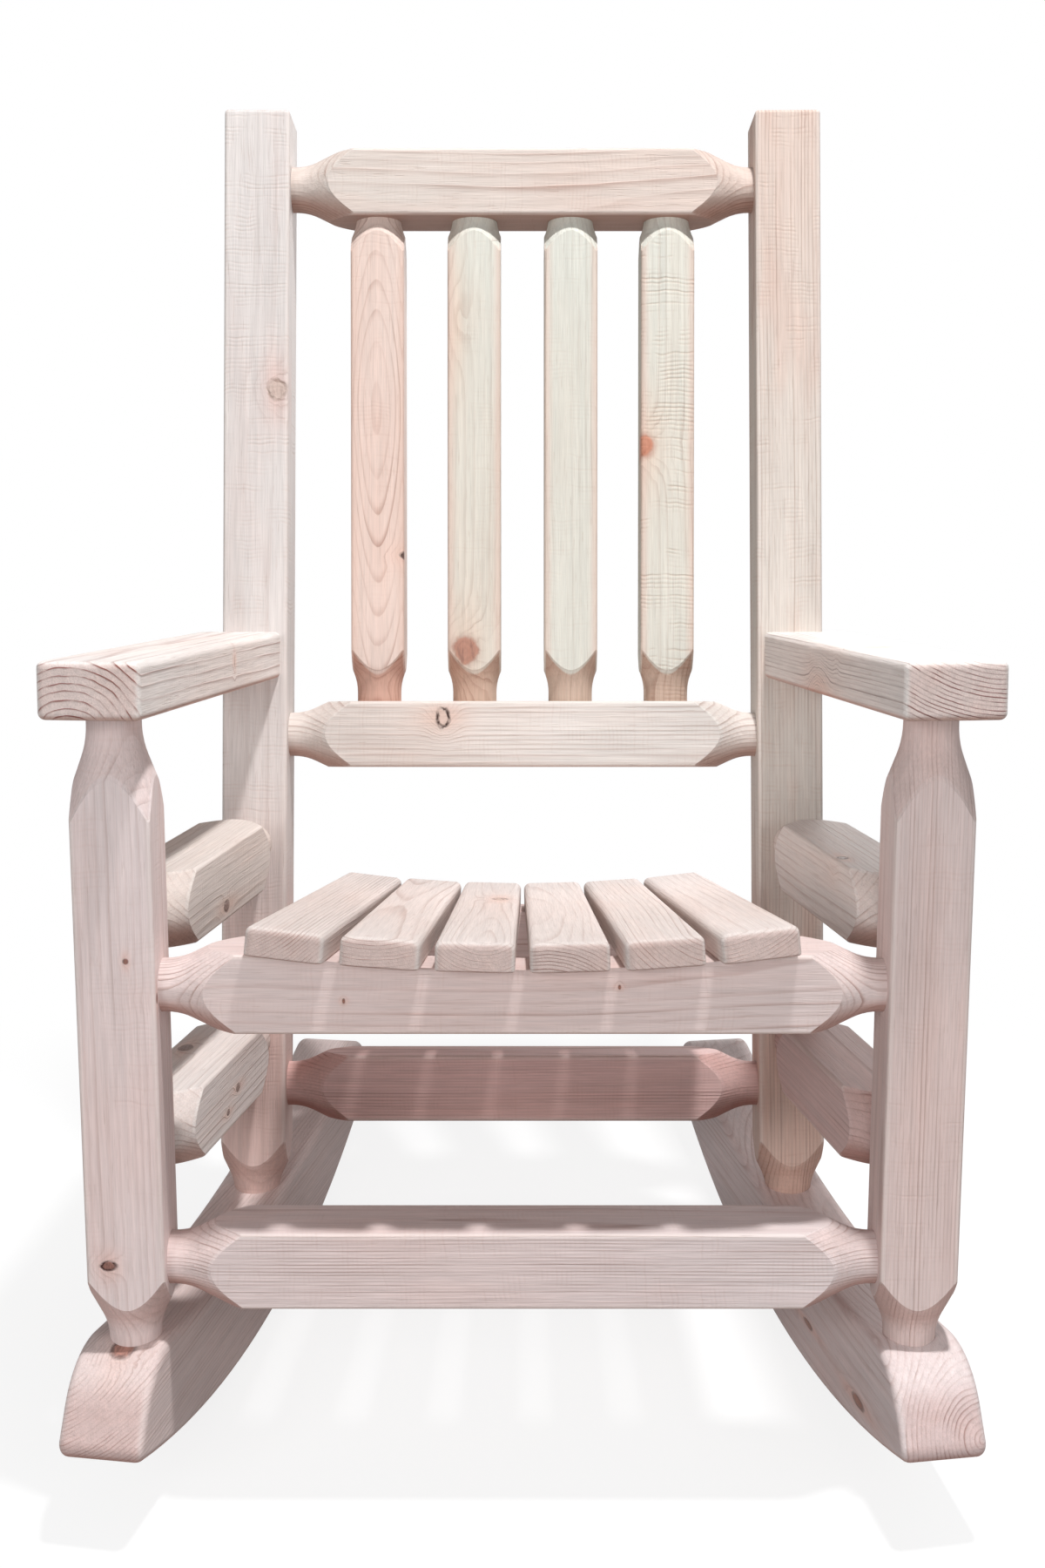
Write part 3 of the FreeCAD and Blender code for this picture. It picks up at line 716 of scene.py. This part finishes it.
sideShared = {"Knot Tint": linear(152, 128, 120), "Spacing": 0.003, "Contrast": 0.5, "Line": 0.42}
sideRails = {
    "upper_side_rail_left": {
        "tone": "bright", "Seed": 16.2, "Pith": (0, 0.05, -0.04),
        "knots": [knot(yBackFace, 0.144, -0.017, 0.0042, oval=1.5)],
    },
    "upper_side_rail_right": {
        "tone": "litMilk", "Seed": 17.3, "Pith": (0, -0.06, -0.05),
        "knots": [knot(zFace, 0.111, 0.021, 0.0038, oval=1.2)],
    },
    "lower_side_rail_left": {
        "tone": "litMilk", "Seed": 18.8, "Pith": (0, 0.04, -0.05),
        "knots": [
            knot(yBackFace, 0.157, -0.001, 0.003, oval=1.5),
            knot(yBackFace, 0.131, -0.013, 0.0022, oval=1.5),
            knot(zFace, 0.162, 0.016, 0.005, oval=1.6),
        ],
    },
    "lower_side_rail_right": {
        "tone": "clay", "Seed": 19.9, "Pith": (0, 0.01, -0.045), "Spacing": 0.0042, "Contrast": 0.7,
    },
}
for node, wood in sideRails.items():
    dressTimber(node, toBack, chairUp, sideShared | wood)
print("side rails dressed")

# the spindles' turned feet, their lowest 0.1 m, take strong painted shade
spindleShared = {
    # on the spindles the edges take a pinker tone of the wood, not the painted highlight
    "Edge Tint": linear(226, 196, 182), "Edge Amount": 0.55, "Edge Width": 0.009,
    "Turned Amount": 1.0, "Turned Reach": 0.1, "Turned Shade Tint": linear(233, 207, 197),
}
spindles = {
    "back_spindle_1": {
        "tone": "peach", "Seed": 21.4, "Pith": (0, -0.001, -0.003), "Spacing": 0.0021, "Bow": 0.08,
        "Bow Place": 0.28, "Drift": 0.004, "Contrast": 0.7, "Line": 0.4,
        "Knot Tint": linear(92, 62, 56), "Rim Tint": linear(58, 40, 38),
        "knots": [knot((0, -1, 0.3), 0.146, 0.014, 0.0026, oval=1.2, ring=1.0)],
    },
    "back_spindle_2": {
        "tone": "cream", "Seed": 22.6, "Pith": (0, 0.05, -0.03), "Spacing": 0.0046, "Contrast": 0.4,
        "Blush Amount": 0.35, "Knot Tint": linear(184, 128, 108), "Rim Tint": linear(128, 78, 66),
        "knots": [
            knot(zFace, 0.064, 0.008, 0.0125, oval=1.05, fill=0.85, ring=0.2),
            knot(zFace, 0.348, 0.017, 0.006, oval=3.0, fill=0.0, ring=0.0),
        ],
    },
    "back_spindle_3": {
        "tone": "cream", "Seed": 23.1, "Pith": (0, -0.08, -0.04), "Spacing": 0.0042, "Contrast": 0.3,
        "Blush Amount": 0.2,
    },
    "back_spindle_4": {
        "tone": "cream", "Seed": 24.9, "Pith": (0, 0.06, 0.05), "Spacing": 0.005, "Contrast": 0.35,
        "Ripple Amount": 0.6, "Blush Amount": 0.3,
        "Knot Tint": linear(206, 146, 122), "Rim Tint": linear(172, 106, 84),
        "knots": [knot(zFace, 0.24, 0.022, 0.011, fill=1.0, ring=0.35)],
    },
}
for node, wood in spindles.items():
    dressTimber(node, upwards, chairForward, spindleShared | wood)
print("spindles dressed")

slatShared = {"tone": "pale", "Turned Amount": 0.0, "Line": 0.42, "Contrast": 0.55}
slats = {
    "seat_slat_1": {"Seed": 31.2, "Pith": (0, 0.06, 0.07), "Spacing": 0.0023, "Contrast": 0.62},
    "seat_slat_2": {"Seed": 32.5, "Pith": (0, 0.01, 0.1), "Spacing": 0.0026, "Bow": 0.02},
    "seat_slat_3": {
        "Seed": 33.7, "Pith": (0, -0.006, 0.045), "Spacing": 0.0024, "Bow": 0.025,
        "Knot Tint": linear(208, 176, 160), "knots": [knot(zFace, 0.254, -0.01, 0.006, oval=1.2)],
    },
    "seat_slat_4": {"Seed": 34.4, "Pith": (0, 0.02, -0.06), "Spacing": 0.0026, "Bow": 0.02, "Contrast": 0.65},
    "seat_slat_5": {"Seed": 35.9, "Pith": (0, -0.05, 0.06), "Spacing": 0.003, "Bow": 0.015},
    "seat_slat_6": {"Seed": 36.1, "Pith": (0, 0.03, 0.08), "Spacing": 0.0028, "Contrast": 0.42},
}
for node, wood in slats.items():
    dressTimber(node, toBack, faceNormal(node, upwards), slatShared | wood, boardCap)
print("slats dressed")

armShared = {"tone": "litMilk", "Turned Amount": 0.0, "Edge Amount": 0.4, "Fibre": 1.3, "Drift": 0.002}
arms = {
    "arm_left": {
        "Seed": 41.5, "Pith": (0, 0.0135, -0.036), "Spacing": 0.0052, "Line": 0.34, "Contrast": 0.6,
        "End Contrast": 2.0, "Latewood": linear(164, 118, 110), "Knot Tint": linear(178, 150, 138),
        "knots": [knot(yBackFace, 0.238, 0.005, 0.0048, oval=0.32, fill=0.4, ring=0.1)],
    },
    "arm_right": {
        "Seed": 42.3, "Pith": (0, -0.036, 0.109), "Spacing": 0.003, "Line": 0.46, "Contrast": 0.7,
        "End Contrast": 1.6, "Latewood": linear(144, 110, 105), "Knot Tint": linear(206, 176, 158),
        "knots": [
            knot(zFace, 0.163, 0.001, 0.011, oval=0.3, fill=0.5, ring=0.1),
            knot(yFace, 0.215, -0.018, 0.0105, fill=0.0, ring=0.0),
        ],
    },
}
for node, wood in arms.items():
    dressTimber(node, toBack, chairUp, armShared | wood, boardCap)
print("arms dressed")

rockerShared = {"Turned Amount": 0.0, "Edge Amount": 0.0}
rockers = {
    "rocker_left": {
        "tone": "blush", "Seed": 51.7, "Pith": (0, 0.1, 0.127), "Spacing": 0.0026, "Contrast": 0.5,
        "Blush": linear(255, 246, 242), "Knot Tint": linear(196, 140, 124),
        "knots": [knot(zFace, -0.021, 0.002, 0.0085, ring=0.8, level=0.032)],
    },
    "rocker_right": {
        "tone": "rose", "Seed": 52.4, "Pith": (0, -0.03, -0.017), "Spacing": 0.0034, "Contrast": 0.6,
        "Drift": 0.002,
        "knots": [
            knot(yFace, 0.024, -0.0305, 0.004, oval=3.0),
            knot(yFace, 0.143, -0.0245, 0.0026, oval=4.0),
        ],
    },
}
for side, (node, wood) in zip((-1, 1), rockers.items()):
    # a runner goes from the foot of the front post to that of the rear one, level in the chair
    mirror = Vector((side, 1, 1))
    runner = (footOfRear - footOfFront) * mirror
    runner -= chairUp * runner.dot(chairUp)
    dressNode(node, footOfFront * mirror, ownAxes(runner, chairUp), rockerShared | wood)
print("rockers dressed")


# Screws with domed heads and six-lobed sockets, in the places of the CAD's plain pins

screws = {
    "segments": 48,
    "lobes": 6,
    "socketRadius": 0.5,  # shares of the head's radius and height
    "lobeSwell": 0.13,
    "lobeShare": 0.86,  # of the socket's radius
    "socketDepth": 0.55,
    "domeStart": 1.15,  # share of the socket's radius
    "domeDrop": 0.4,
    "domeSteps": 6,
    "seatSkirt": 0.94,
    "headShare": 0.98,  # points beyond this share of the radius are the head's
    "underHead": 0.001,
    "endCap": 0.0005,
    "sharpAngle": 35,
    "nodes": {"slat_screws": ("slatScrews", upwards), "arm_screws": ("armScrews", chairForward)},
}


def loosePins(node):
    # the points of each separate pin of a node
    shape = bmesh.new()
    shape.from_mesh(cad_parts[node].data)
    bmesh.ops.remove_doubles(shape, verts=shape.verts, dist=1e-5)
    pins = []
    for first in shape.verts:
        if first.tag:
            continue
        first.tag = True
        waiting, found = [first], []
        while waiting:
            vertex = waiting.pop()
            found.append(vertex.co[:])
            for edge in vertex.link_edges:
                other = edge.other_vert(vertex)
                if not other.tag:
                    other.tag = True
                    waiting.append(other)
        pins.append(np.array(found))
    shape.free()
    return pins


def pinSizes(points, head, tip):
    # the head's radius and height, the shank's radius and the whole length
    axis = np.array((tip - head).normalized())
    depth = (points - np.array(head)) @ axis
    radius = np.linalg.norm(points - np.array(head) - np.outer(depth, axis), axis=1)
    headRadius = radius.max()
    headHeight = depth[radius > headRadius * screws["headShare"]].max()
    shankRadius = radius[depth > headHeight + screws["underHead"]].max()
    return headRadius, headHeight, shankRadius, depth.max()


def addScrew(shape, head, tip, sizes):
    headRadius, headHeight, shankRadius, length = sizes
    before = set(shape.verts)
    socket = headRadius * screws["socketRadius"]
    domeStart = socket * screws["domeStart"]
    dome = headHeight * screws["domeDrop"]
    profile = [(socket, 0.0)]
    for step in range(1, screws["domeSteps"] + 1):
        turn = math.pi / 2 * step / screws["domeSteps"]
        radius = domeStart + (headRadius - domeStart) * math.sin(turn)
        profile.append((radius, dome * (1 - math.cos(turn))))
    skirt = screws["seatSkirt"]
    profile += [(headRadius, headHeight * skirt), (headRadius * skirt, headHeight)]
    profile += [(shankRadius, headHeight), (shankRadius, length - shankRadius), (0.0, length)]
    verts = [shape.verts.new((radius, 0, depth)) for radius, depth in profile]
    edges = [shape.edges.new(pair) for pair in zip(verts, verts[1:])]
    bmesh.ops.spin(
        shape, geom=verts + edges, cent=(0, 0, 0), axis=(0, 0, 1),
        angle=2 * math.pi, steps=screws["segments"], use_merge=True, use_duplicate=False,
    )
    new = [vertex for vertex in shape.verts if vertex not in before]
    bmesh.ops.remove_doubles(shape, verts=new, dist=1e-6)
    # the socket: the open rim drawn in to lobes, then sunk and closed
    rim = [edge for edge in shape.edges if edge.is_boundary]
    inner = bmesh.ops.extrude_edge_only(shape, edges=rim)["geom"]
    for vertex in (part for part in inner if isinstance(part, bmesh.types.BMVert)):
        turn = math.atan2(vertex.co.y, vertex.co.x) * screws["lobes"]
        swell = screws["lobeShare"] * (1 + screws["lobeSwell"] * math.cos(turn))
        vertex.co = Vector((vertex.co.x * swell, vertex.co.y * swell, vertex.co.z))
    lobes = [part for part in inner if isinstance(part, bmesh.types.BMEdge) and part.is_boundary]
    sunk = bmesh.ops.extrude_edge_only(shape, edges=lobes)["geom"]
    sunkVerts = [part for part in sunk if isinstance(part, bmesh.types.BMVert)]
    bmesh.ops.translate(shape, verts=sunkVerts, vec=(0, 0, headHeight * screws["socketDepth"]))
    floorEdges = [part for part in sunk if isinstance(part, bmesh.types.BMEdge) and part.is_boundary]
    bmesh.ops.edgeloop_fill(shape, edges=floorEdges)
    new = [vertex for vertex in shape.verts if vertex not in before]
    place = Matrix.Translation(head) @ (tip - head).to_track_quat("Z", "Y").to_matrix().to_4x4()
    bmesh.ops.transform(shape, matrix=place, verts=new)


zinc = {
    "bright": linear(188, 186, 180),
    "dull": linear(150, 148, 146),
    "cloudScale": (320, 320, 320),
    "cloudRange": (0.3, 0.7),
    "scratchScale": (2600, 2600, 700),
    "roughness": 0.2,
    "roughShares": {"Clouds": 0.2, "Scratches": 0.3},
    "bump": {"Strength": 0.3, "Distance": 0.0001},
}


def zincMaterial():
    material, tree = newMaterial("zincPlate")
    parts = put(tree, "SeparateXYZ", {"Vector": put(tree, "TexCoord").outputs["Object"]}).outputs
    clouds = noise(tree, stretched(tree, parts, zinc["cloudScale"]), 1.0, 3.0)
    scratches = noise(tree, stretched(tree, parts, zinc["scratchScale"]), 2.0)
    colour = blend(tree, ease(tree, clouds, *zinc["cloudRange"]), zinc["bright"], zinc["dull"])
    values = {"Clouds": clouds, "Scratches": scratches}
    rough = summed(tree, zinc["roughness"], values, zinc["roughShares"])
    bump = put(tree, "Bump", {"Height": scratches} | zinc["bump"]).outputs[0]
    surface = {"Base Color": colour, "Roughness": rough, "Normal": bump, "Metallic": 1.0}
    shader = put(tree, "BsdfPrincipled", surface)
    tree.links.new(shader.outputs[0], put(tree, "OutputMaterial").inputs["Surface"])
    return material


def makeScrews():
    plate = zincMaterial()
    for node, (name, guess) in screws["nodes"].items():
        shape = bmesh.new()
        for points in loosePins(node):
            head, tip = endMiddles(points, guess, screws["endCap"])
            addScrew(shape, head, tip, pinSizes(points, head, tip))
        bmesh.ops.recalc_face_normals(shape, faces=shape.faces)
        mesh = bpy.data.meshes.new(name)
        shape.to_mesh(mesh)
        shape.free()
        mesh.shade_smooth()
        mesh.set_sharp_from_angle(angle=math.radians(screws["sharpAngle"]))
        mesh.materials.append(plate)
        piece = bpy.data.objects.new(name, mesh)
        scene.collection.objects.link(piece)
        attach(piece, "root")
        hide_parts(node)
        print(name, "made:", len(mesh.polygons), "faces")


makeScrews()


# Floor, light and camera

studio = {
    "floorRadius": 7.0,
    "floorSegments": 96,
    "floorWhite": 0.22,  # share of the white that is lit, and so can be in shadow
    "glowLess": 0.75,  # how much of the lit white the glow leaves out
    "shadowReach": (0.35, 0.85),
    "floorBounce": (0.2, 0.195, 0.19, 1.0),
    "worldFill": 0.15,
    "lampAim": (0, 0, 0.5),
    "lamps": {
        "overheadLamp": {"at": (0.42, -0.22, 3.1), "size": 0.2, "power": 63},
        "leftSoftbox": {"at": (-1.4, -2.2, 1.4), "size": 1.0, "power": 17.5},
        "rightSoftbox": {"at": (1.5, -2.0, 1.3), "size": 1.0, "power": 10},
        "backSoftbox": {"at": (0.7, 2.6, 0.8), "size": 1.2, "power": 20},
        "lowSoftbox": {"at": (0, -3.0, 0.3), "size": 1.0, "power": 18.5},
    },
    "camera": {"at": (0, -1.456, 0.9203), "down": 17.16, "lens": 43.55, "sensor": 36},
}


def stageRays(tree):
    # 1 for rays that look straight, or by gloss or glass, at the stage
    path = put(tree, "LightPath").outputs
    total = calc(tree, "ADD", path["Is Camera Ray"], path["Is Glossy Ray"])
    return calc(tree, "MINIMUM", calc(tree, "ADD", total, path["Is Transmission Ray"]), 1.0)


def makeFloor():
    mesh = bpy.data.meshes.new("floor")
    shape = bmesh.new()
    radius, segments = studio["floorRadius"], studio["floorSegments"]
    bmesh.ops.create_circle(shape, cap_ends=True, segments=segments, radius=radius)
    shape.to_mesh(mesh)
    shape.free()
    floor = bpy.data.objects.new("floor", mesh)
    scene.collection.objects.link(floor)
    material, tree = newMaterial("paleFloor")
    seen = stageRays(tree)
    place = put(tree, "TexCoord").outputs["Object"]
    fromMiddle = put(tree, "VectorMath", {0: place}, operation="LENGTH").outputs["Value"]
    lit = calc(tree, "SUBTRACT", 1.0, ease(tree, fromMiddle, *studio["shadowReach"]))
    lit = calc(tree, "MULTIPLY", lit, studio["floorWhite"])
    colour = blend(tree, seen, studio["floorBounce"], grey(tree, lit))
    diffuse = put(tree, "BsdfDiffuse", {"Color": colour}).outputs[0]
    white = calc(tree, "SUBTRACT", 1.0, calc(tree, "MULTIPLY", lit, studio["glowLess"]))
    white = calc(tree, "MULTIPLY", seen, white)
    glow = put(tree, "Emission", {"Color": (1, 1, 1, 1), "Strength": white}).outputs[0]
    both = put(tree, "AddShader", {0: diffuse, 1: glow}).outputs[0]
    tree.links.new(both, put(tree, "OutputMaterial").inputs["Surface"])
    mesh.materials.append(material)


def makeWorld():
    world = bpy.data.worlds.new("studio")
    scene.world = world
    world.use_nodes = True
    tree = world.node_tree
    tree.nodes.clear()
    fill = studio["worldFill"]
    strength = calc(tree, "MULTIPLY_ADD", stageRays(tree), 1 - fill, fill)
    background = put(tree, "Background", {"Color": (1, 1, 1, 1), "Strength": strength})
    tree.links.new(background.outputs[0], put(tree, "OutputWorld").inputs["Surface"])


def makeLamps():
    for name, lamp in studio["lamps"].items():
        data = bpy.data.lights.new(name, "AREA")
        data.shape = "DISK"
        data.size = lamp["size"]
        data.energy = lamp["power"]
        light = bpy.data.objects.new(name, data)
        scene.collection.objects.link(light)
        light.location = lamp["at"]
        beam = Vector(studio["lampAim"]) - Vector(lamp["at"])
        light.rotation_euler = beam.to_track_quat("-Z", "Y").to_euler()


def makeCamera():
    view = studio["camera"]
    data = bpy.data.cameras.new("camera")
    data.lens = view["lens"]
    data.sensor_width = view["sensor"]
    camera = bpy.data.objects.new("camera", data)
    scene.collection.objects.link(camera)
    camera.location = view["at"]
    camera.rotation_euler = (math.radians(90 - view["down"]), 0, 0)
    scene.camera = camera


makeFloor()
makeWorld()
makeLamps()
makeCamera()
print("floor, light and camera ready")
